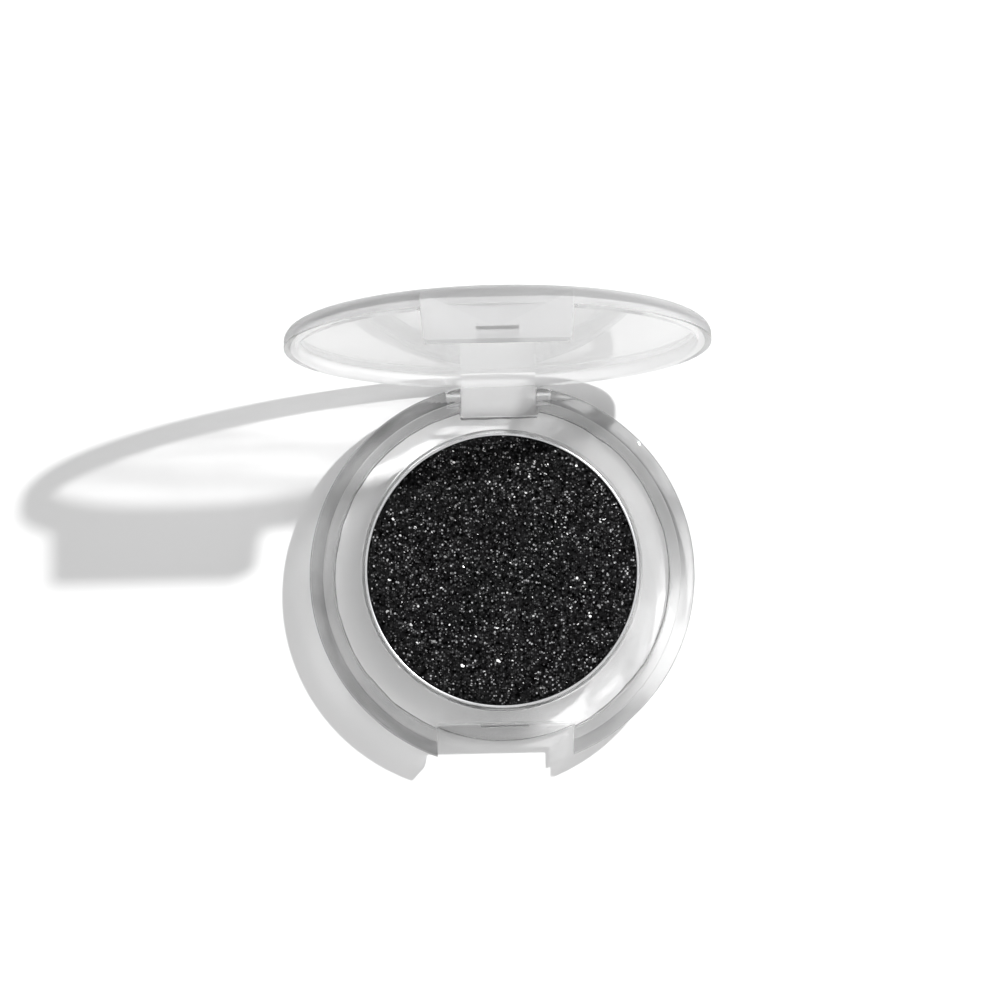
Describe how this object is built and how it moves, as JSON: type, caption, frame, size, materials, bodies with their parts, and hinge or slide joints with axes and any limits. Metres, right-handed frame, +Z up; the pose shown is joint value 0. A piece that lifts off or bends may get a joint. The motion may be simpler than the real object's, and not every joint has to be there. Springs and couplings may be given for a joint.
{
  "type": "single-pan eyeshadow compact",
  "caption": "Round clear compact with a hinged clear lid that snaps shut over a metal pan of pressed black glitter eyeshadow.",
  "frame": {"origin": "centre of the foot's underside", "axes": "+Z up out of the base, +Y towards the hinge, -Y towards the latch notch, +X to the right seen from the latch"},
  "size_m": [0.0366, 0.0402, 0.037],
  "materials": {
    "clear_base": "clear gloss",
    "clear_lid": "clear gloss",
    "pan_metal": "satin",
    "powder": "pressed powder with glitter",
    "glue": "gloss",
    "label": "matte"
  },
  "bodies": {
    "base": {"base_shell": "clear_base", "pan": "pan_metal", "powder_cake": "powder", "pan_glue_dot": "glue", "shade_label": "label"},
    "lid": {"lid": "clear_lid"}
  },
  "joints": [
    {"name": "lid_hinge", "type": "hinge", "parent": "base", "child": "lid", "pos_m": [0, 0.0166, 0.0024], "axis": [1, 0, 0], "range_deg": [0, 95.5]}
  ]
}
